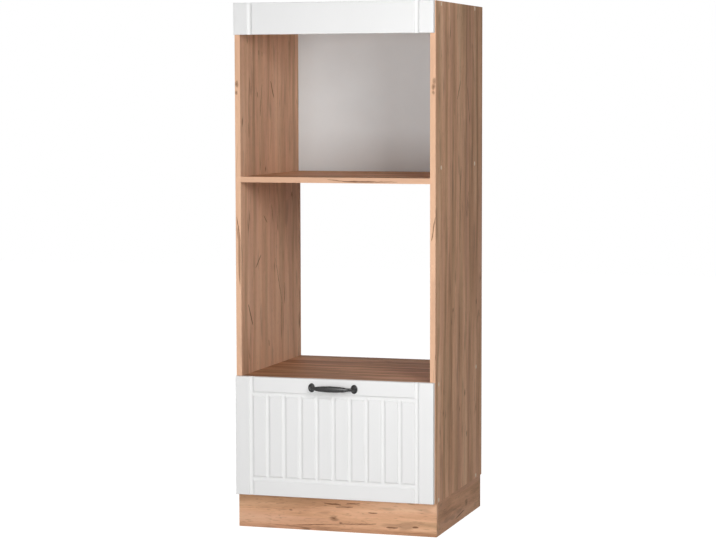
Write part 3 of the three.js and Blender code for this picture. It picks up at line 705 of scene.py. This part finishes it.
def grid_lines(low, high, centres):
    """Places of the grid lines from low to high, and how far the edge rounding sinks each one.

    The rounding is a quarter circle: at the angle t a line lies R sin t outside the flat part and
    R (1 - cos t) below it. Round every groove centre come nineteen lines, then even filling."""
    flat_low, flat_high = low + EDGE_ROUND, high - EDGE_ROUND
    beside = [centre + side * BESIDE for centre in centres for side in (-1, 1)]
    lines = np.concatenate([[flat_low, flat_high], *beside])
    lines = np.unique(np.round(lines[(lines >= flat_low) & (lines <= flat_high)], 4))
    steps = np.ceil(np.diff(lines) / COARSE).astype(int)
    even = [np.linspace(*ends, endpoint=False) for ends in zip(lines, lines[1:], steps)]
    flat = np.concatenate([*even, [flat_high]])
    turn = np.radians(np.arange(15.0, 91.0, 15.0))
    out, sunk = EDGE_ROUND * np.sin(turn), EDGE_ROUND * (1 - np.cos(turn))
    lines = np.concatenate([(flat_low - out)[::-1], flat, flat_high + out])
    return lines, np.concatenate([sunk[::-1], np.zeros(len(flat)), sunk])


def milled_panel(across, upward, face, back, paths):
    """Points, faces and groove mask of a front: height field, flat back and the four sides."""
    xs, sunk_x = grid_lines(*across, sorted({p[0] for p in paths if p[0] == p[2]}))
    zs, sunk_z = grid_lines(*upward, sorted({p[1] for p in paths if p[1] == p[3]}))
    x, z = np.meshgrid(xs, zs, indexing="ij")
    groove = milled_depth(x, z, paths)
    depth = np.maximum(groove, np.maximum(sunk_x[:, None], sunk_z[None, :]))
    front = np.stack([x, face + depth, z], -1).reshape(-1, 3)
    rear = np.stack([x, np.full_like(x, back), z], -1).reshape(-1, 3)
    n, m = x.shape
    number = np.arange(n * m).reshape(n, m)
    corners = [number[:-1, :-1], number[1:, :-1], number[1:, 1:], number[:-1, 1:]]
    quads = np.stack(corners, -1).reshape(-1, 4)
    rim = np.concatenate([number[:, 0], number[-1, 1:], number[-2::-1, -1], number[0, -2:0:-1]])
    after = np.roll(rim, -1)
    skirt = np.stack([after, rim, rim + n * m, after + n * m], -1)
    mask = np.concatenate([np.clip(groove / GROOVE_DEEP, 0, 1).ravel(), np.zeros(n * m)])
    return (np.concatenate([front, rear]), [quads, quads[:, ::-1] + n * m, skirt]), mask


print("front tools ready")

# %% White foil
def foil(name, shade):
    """Satin foil: a faint drift of tone, a fine peel, and towards the bottom of the grooves
    a darker tint that is partly dust and partly painted shade.
    """
    recipe = Recipe(name)
    drift = recipe.speckle(5.0)
    peel = recipe.speckle(420.0)
    deep = recipe.add("ShaderNodeAttribute", {"attribute_name": "groove"}, output="Fac")
    color = recipe.blend(drift, tint(shade, 0.985), tint(shade, 1.015))
    # Darker towards the bottom of the grooves: partly dust, partly painted shade.
    color = recipe.blend(deep.rise(0.6, 1.0) * 0.05, color, (0.62, 0.60, 0.57))
    roughness = 0.34 + drift * 0.06 + deep * 0.08
    return recipe.finish(color, roughness, peel, 0.00002, 0.5, specular=0.3)


white_foil = foil("white_foil", (0.86, 0.86, 0.857))
print("white foil ready")

# %% The two fronts
STILE, PLANK = 249.0, 49.8
RAIL_LOW, RAIL_HIGH = 150.0, 397.0
RUN_OUT = 20.0  # how far the cutter goes on past an edge


def milled_front(name, node, body, cross_paths=()):
    """A milled front in the place of a CAD board, with two stile grooves from end to end."""
    (west, face, low), (east, back, high) = node_box(node)
    stiles = [(side * STILE, low - RUN_OUT, side * STILE, high + RUN_OUT) for side in (-1, 1)]
    skin, groove = milled_panel((west, east), (low, high), face, back, [*stiles, *cross_paths])
    item = piece(name, [skin], white_foil, body, (node,), masks={"groove": groove})
    print(name, "has", len(item.data.polygons), "faces")


plank_xs = [-STILE + PLANK * k for k in range(1, 10)]
planks = [(x, RAIL_LOW, x, RAIL_HIGH) for x in plank_xs]
rails = [(-STILE, z, STILE, z) for z in (RAIL_LOW, RAIL_HIGH)]
milled_front("drawer_front_milled", "drawer_front", "drawer", planks + rails)
milled_front("fascia_milled", "fascia_panel", "carcass")

# %% [markdown]
# ## The bow handle
# The handle is a cast bow on two oval feet, flat and broad in the middle and slender towards the
# feet. Its section changes all the way, so the drawing gives stations along the bow, each with its
# place and its half height and half depth, and a smooth curve is passed through all of them at
# once. Between the stations p1 and p2 it is the cubic that leaves with the slope (p2 - p0) / 2 and
# arrives with the slope (p3 - p1) / 2.

# %% A smooth curve through stations
SIDES = 48  # points round a turned form


def smooth(stations, steps):
    """Rows between the given rows, by cubics that share their slopes at the rows."""
    p = np.asarray(stations, float)
    p = np.vstack([2 * p[0] - p[1], p, 2 * p[-1] - p[-2]])
    t = (np.arange(steps) / steps)[None, :, None]
    p0, p1, p2, p3 = (p[k:len(p) - 3 + k, None, :] for k in range(4))
    m1, m2 = (p2 - p0) / 2, (p3 - p1) / 2
    curve = (
        (2 * t**3 - 3 * t**2 + 1) * p1 + (t**3 - 2 * t**2 + t) * m1
        + (3 * t**2 - 2 * t**3) * p2 + (t**3 - t**2) * m2)
    return np.vstack([curve.reshape(-1, p.shape[1]), p[-2]])


def circle_angles(sides):
    return np.linspace(0, 2 * np.pi, sides, endpoint=False)


def turned(profile, axis, centre, direction=1, oval=1.0):
    """Rings of a turned form. The profile gives (radius, height) along the axis from the centre;
    oval squeezes the first of the two other directions."""
    profile = np.asarray(profile, float)
    angle = circle_angles(SIDES)
    axis = AXES.index(axis)
    first, second = [k for k in range(3) if k != axis]
    rings = np.zeros((len(profile), SIDES, 3)) + np.asarray(centre, float)
    rings[..., first] += profile[:, :1] * np.cos(angle) * oval
    rings[..., second] += profile[:, :1] * np.sin(angle)
    rings[..., axis] += direction * profile[:, 1:]
    return rings


print("5 stations in 4 steps give", len(smooth(np.zeros((5, 4)), 4)), "rows")

# %% Bow and feet
FACE = node_box("drawer_front")[0][1]
HANDLE_Z = node_box("drawer_handle")[:, 2].mean()
FOOT_AT = 64.0
FOOT_OVAL = 10 / 13
SQUARE = 0.86  # below 1 an oval section gets fuller shoulders
half_bow = [  # place across, distance from the face, half height and half depth of the section
    (FOOT_AT, 2.7, 5.98, 5.32), (63.5, 8.55, 5.29, 4.75), (60.0, 14.85, 4.83, 4.18),
    (52.0, 19.6, 4.6, 3.8), (39.7, 21.4, 6.8, 4.1), (21.8, 22.3, 8.28, 4.41)]
stations = [(-x, *rest) for x, *rest in half_bow] + [(0.0, 22.5, 9.0, 4.49)] + half_bow[::-1]
bow = smooth(stations, 8)
slope = np.gradient(bow[:, :2], axis=0)
slope /= np.linalg.norm(slope, axis=1, keepdims=True)
turn = circle_angles(40)
wave = np.array([np.cos(turn), np.sin(turn)])
swell = np.sign(wave) * np.abs(wave) ** SQUARE
outward, upward = bow[:, 3:4] * swell[0], bow[:, 2:3] * swell[1]
bow_rings = np.stack([
    bow[:, 0:1] - slope[:, 1:2] * outward,
    FACE - bow[:, 1:2] - slope[:, 0:1] * outward,
    HANDLE_Z + upward], -1)

foot_curve = [
    (12.1, 0.05), (13.0, 1.2), (13.0, 2.4), (12.1, 3.5), (10.4, 3.9), (9.4, 3.4), (8.6, 3.9),
    (8.06, 5.2), (6.5, 6.6), (3.2, 7.15)]
foot = np.vstack([[(11.9, 0.0)], smooth(foot_curve, 4), [(1.0, 7.2)]])
feet = [
    shell(turned(foot, "Y", (side * FOOT_AT, FACE, HANDLE_Z), -1, FOOT_OVAL)) for side in (-1, 1)]
skins = [shell(bow_rings), *feet]
handle = piece("bow_handle", skins, black_metal, "drawer", ("drawer_handle",))
reach = CARCASS_FRONT - min(vertex.co.y for vertex in handle.data.vertices)
print("handle:", len(handle.data.polygons), "faces,", round(reach / MM, 1), "mm before the carcass")

# %% [markdown]
# ## Caps and screws
# The connectors that hold the sides are hidden under round plastic caps, flush with the board. A
# cap is a thin disc with a soft rim. Screws are turned forms with a cross driven into the head:
# its height is a function of radius and angle, from which the cross is taken.

# %% Sixteen caps
CAP_RADIUS = 6.25
SIDE_FACE = 300.0
CAP_THICK = 0.8
cap_profile = [
    (5.9, 0.0), (6.15, 0.05), (CAP_RADIUS, 0.2), (CAP_RADIUS, 0.5), (6.18, 0.64), (6.0, 0.73),
    (5.7, 0.775), (4.5, 0.79), (1.0, CAP_THICK)]
cap_rows = {  # height, then the places behind the carcass front
    "top": (1517, 62, 445), "spare": (1055, 62, 445),
    "oven_shelf": (438, 37, 468), "bottom": (105, 37, 468)}
for row, (z, *places) in cap_rows.items():
    for side, side_name in ((-1, "left"), (1, "right")):
        for y, end in zip(places, ("front", "rear")):
            skin = shell(turned(cap_profile, "X", (side * (SIDE_FACE - CAP_THICK), y, z), side))
            name = f"cap_{row}_{side_name}_{end}"
            stands_for = (f"spare_hole_cap_{side_name}_{end}",) if row == "spare" else ()
            piece(name, [skin], cap_plastic, "carcass", stands_for)
print("caps:", 4 * len(cap_rows))

# %% A screw head with a cross
DOME = 0.55  # the share of the height that the head loses towards its rim


def cross_head(centre, axis, direction, radius, height):
    """A pan head: height falls off as (r/R)^4 to the rim, less the cross.

    Near an arm the smaller of |x| and |y| is below half the arm's width, and the larger below its
    length; the cross is deepest where both are well inside, and shallows towards the tips."""
    share = np.concatenate([[1.0, 1.0], np.linspace(0.985, 0.06, 26)])[:, None]
    turn = circle_angles(SIDES)
    x, y = share * radius * np.cos(turn), share * radius * np.sin(turn)
    near, far = np.minimum(abs(x), abs(y)), np.maximum(abs(x), abs(y))
    width, length = radius * 0.13, radius * 0.62
    across = np.clip((width * 1.5 - near) / width, 0, 1)
    arm = across * np.clip((length - far) / (length * 0.55), 0, 1)
    top = height * (1 - DOME * share ** 4) - arm * height * 0.6
    top[:2] = [[0.0], [height * (1 - DOME) * 0.6]]
    rings = turned(np.hstack([share * radius, np.zeros_like(share)]), axis, centre)
    rings[..., AXES.index(axis)] += direction * top
    return shell(rings)


def screw_piece(name, skins, body, stands_for=()):
    piece(name, skins, zinc_plate, body, stands_for, sharp=40.0)


print("screw head with", len(cross_head((0, 0, 0), "X", 1, 4.0, 2.0)[0]), "points")

# %% Screws of the slides and of the fascia brackets
RAIL_WEB, RAIL_MIDDLE, FOOT_AXIS, FOOT_UNDER = 282.8, 130.0, 264.0, 128.0
BRACKET_SIDE, BRACKET_AXIS, BRACKET_FRONT, BRACKET_Z = 282.0, 271.0, 2.0, 1465.0
for side, side_name in ((-1, "left"), (1, "right")):
    for number, y in enumerate((40.0, 253.0, 466.0), 1):
        head = cross_head((side * RAIL_WEB, y, RAIL_MIDDLE), "X", -side, 3.6, 1.5)
        screw_piece(f"rail_screw_{side_name}_{number}", [head], "carcass")
    for number, y in enumerate((40.0, 251.25, 462.5), 1):
        head = cross_head((side * FOOT_AXIS, y, FOOT_UNDER), "Z", -1, 3.6, 1.5)
        screw_piece(f"foot_screw_{side_name}_{number}", [head], "drawer")
    head = cross_head((side * BRACKET_SIDE, 13.0, BRACKET_Z), "X", -side, 3.8, 2.0)
    screw_piece(f"bracket_screw_{side_name}_side", [head], "carcass")
    head = cross_head((side * BRACKET_AXIS, BRACKET_FRONT, BRACKET_Z), "Y", 1, 3.8, 2.0)
    screw_piece(f"bracket_screw_{side_name}_front", [head], "carcass")
print("screws on slides and brackets: 16")

# %% Screws with a shank, in place of the plain ones
HEAD_RADIUS, HEAD_HEIGHT = 4.0, 2.0
SHANK_RADIUS, PITCH = 2.0, 1.25


def shank_screw(node):
    """A pan-head screw pointing to the front, with a thread.

    The shank's radius swings between root and crest as a triangle wave of (y / pitch + angle), so
    the crests wind round it as a helix."""
    low, high = node_box(node)
    x, _, z = (low + high) / 2
    seat, tip = high[1] - HEAD_HEIGHT, low[1]
    angle = circle_angles(24)
    rings = math.ceil((seat - tip) / PITCH * 6) - 1
    y = np.linspace(tip, seat, rings)[:, None]
    wave = np.abs(((y / PITCH + angle / (2 * np.pi)) % 1.0) * 2 - 1)
    radius = SHANK_RADIUS * (0.80 + 0.2 * wave) * np.clip(y - tip + 0.6, 0.0, 1.0)
    across, upward = radius * np.cos(angle), radius * np.sin(angle)
    shank = np.stack([x + across, y + np.zeros_like(radius), z + upward], -1)
    return [shell(shank), cross_head((x, seat, z), "Y", 1, HEAD_RADIUS, HEAD_HEIGHT)]


for kind in ("handle_screw", "drawer_front_screw"):
    for node in (kind + "_left", kind + "_right"):
        screw_piece(node + "_threaded", shank_screw(node), "drawer", (node,))
print("threaded screws: 4")

# %% [markdown]
# ## Rollers
# Each slide runs on two nylon rollers. A roller is a ring with a bore, a recessed web between hub
# and tread, and six ribs that stiffen the web. Its skin is a closed section carried round the axis;
# the recess is made shallow wherever a rib stands, so one height function gives web and ribs.

# %% Four rollers
ROLLER_RADIUS, RIB_DEEP = 11.0, 0.32
WEB = [  # radius, share of the half width, and 1 where the web is recessed
    (2.9, 1.0, 0), (3.2, 1.0, 0), (4.6, 1.0, 0), (4.9, 0.97, 1), (5.1, 0.9, 1), (6.6, 0.9, 1),
    (8.2, 0.9, 1), (8.4, 0.97, 1), (8.7, 1.0, 0), (10.2, 1.0, 0), (10.7, 0.96, 0),
    (10.95, 0.88, 0), (ROLLER_RADIUS, 0.6, 0)]
TREAD = [(ROLLER_RADIUS, 0.2, 0), (ROLLER_RADIUS, -0.2, 0)]


def roller_skin(node):
    """A roller in the box of a CAD node: the section runs round bore, hub, web and tread."""
    low, high = node_box(node)
    middle, (half, _, radius) = (low + high) / 2, (high - low) / 2
    section = np.array(WEB + TREAD + [(r, -share, web) for r, share, web in WEB[::-1]])
    turn = circle_angles(96)
    rib = np.clip((np.abs(np.sin(3 * turn)) - 0.30) / 0.15, 0, 1)
    sink = section[:, 2:3] * rib * RIB_DEEP * np.sign(section[:, 1:2])
    x = middle[0] + (section[:, 1:2] - sink) * half
    r = section[:, :1] * radius / ROLLER_RADIUS
    y, z = middle[1] + r * np.cos(turn), middle[2] + r * np.sin(turn)
    points, quads = band(np.stack([x, y, z], -1), closed=True)
    return points, [quads]


for end in ("front", "rear"):
    for side_name in ("left", "right"):
        node = f"{end}_roller_{side_name}"
        skins = [roller_skin(node)]
        piece(node + "_ribbed", skins, roller_plastic, node, (node,))
print("rollers: 4")

# %% [markdown]
# ## Floor, light and world
# The photograph shows no room, but its shades tell where the light stands. The grey back panel is
# bright and even, so most light comes from straight ahead and from below the upper niche, and the
# outer side is not black, so some comes from the right. The lower niche is darkest at its rear, so
# little comes from behind: three weak lamps show the left side, the rear and the top, and stand
# where their gloss on its boards stays out of sight. A lamp's power is worked out: a lamp of power
# P sends P / (pi d^2) times the cosine at its own face to a surface at distance d, and a white
# surface looks as bright as a pixel of 1 where it receives pi. So the share of white gives P.

# %% Lamp
AIM = (0, 0, 800)


def area_lamp(name, at, size, share):
    """A square area lamp that gives the aim, faced squarely, the share of a full white."""
    at, aim = placed(at), placed(AIM)
    data = bpy.data.lights.new(name, "AREA")
    data.shape, data.size = "SQUARE", size
    back = at - aim
    distance = float(np.linalg.norm(back))
    back = back / distance
    side = np.cross([0, 0, 1], back)
    side /= np.linalg.norm(side)
    over = np.cross(back, side)
    data.energy = share * math.pi ** 2 * distance ** 2
    lamp = enter(name, data)
    stand(lamp, (side, over, back), at)
    return lamp


LAMPS = {  # place in the drawing, size in metres, share of a full white
    "front_lamp": ((0, -3300, 850), 1.4, 0.445),
    "side_lamp": ((1600, -1700, 1600), 0.8, 0.425),
    "left_lamp": ((-3300, 1000, 900), 1.4, 0.19),
    "rear_lamp": ((-2600, 3000, 800), 1.6, 0.13),
    "top_lamp": ((0, 300, 3800), 1.2, 0.16)}
for name, (at, size, share) in LAMPS.items():
    lamp = area_lamp(name, at, size, share)
    print(name, round(lamp.data.energy), "W")

# %% World
FILL_FRONT, FILL_REAR = 0.20, 0.045
WHITE = (1.0, 1.0, 1.0, 1.0)


class WorldRecipe(Recipe):
    """The same tools for the node tree of the world."""

    def __init__(self, world):
        world.use_nodes = True
        self.tree = world.node_tree
        self.tree.nodes.clear()


def seen_directly(recipe):
    """1 for a ray that shows the thing, straight or in a mirror or glass, and 0 for its light."""
    camera, glossy, through = [
        recipe.add("ShaderNodeLightPath", output=f"Is {kind} Ray")
        for kind in ("Camera", "Glossy", "Transmission")]
    return camera.most(glossy).most(through)


world = bpy.data.worlds.new("studio")
bpy.context.scene.world = world
sky = WorldRecipe(world)
direction = sky.add("ShaderNodeTexCoord", output="Generated")
towards_front = sky.add("ShaderNodeSeparateXYZ", None, {0: direction}, "Y") * -1.0
fill = towards_front.rise(-0.6, 0.9) * (FILL_FRONT - FILL_REAR) + FILL_REAR
bare = seen_directly(sky)
strength = bare + (1.0 - bare) * fill
backdrop = sky.add("ShaderNodeBackground", None, {"Color": WHITE, "Strength": strength})
sky.add("ShaderNodeOutputWorld", None, {"Surface": backdrop}, None)
print("world fill", FILL_REAR, "to", FILL_FRONT)

# %% Floor
FLOOR_REACH = 9.0
FLOOR_GLOW, GLOW_SHARE = 1.36, 0.74
ground = Recipe("pale_floor")
x, y, z = ground.spots.values()
dust = ground.noise(ground.vector(x * 3.0, y * 3.0, z), detail=3.0)
grey = ground.blend(dust, (0.66, 0.66, 0.66), (0.70, 0.70, 0.70))
matt = ground.add("ShaderNodeBsdfDiffuse", None, {"Color": grey})
glow = ground.add("ShaderNodeEmission", None, {"Color": WHITE, "Strength": FLOOR_GLOW})
share = seen_directly(ground) * GLOW_SHARE
ground.add_output(ground.add("ShaderNodeMixShader", None, {0: share, 1: matt, 2: glow}))

floor_mesh = bpy.data.meshes.new("floor")
corners = FLOOR_REACH * np.array([(-1, -1, 0), (1, -1, 0), (1, 1, 0), (-1, 1, 0)])
floor_mesh.from_pydata(corners.tolist(), [], [(0, 1, 2, 3)])
floor_mesh.materials.append(ground.material)
floor = enter("floor", floor_mesh)
bpy.context.scene.view_settings.view_transform = "Standard"
print("floor and world ready")
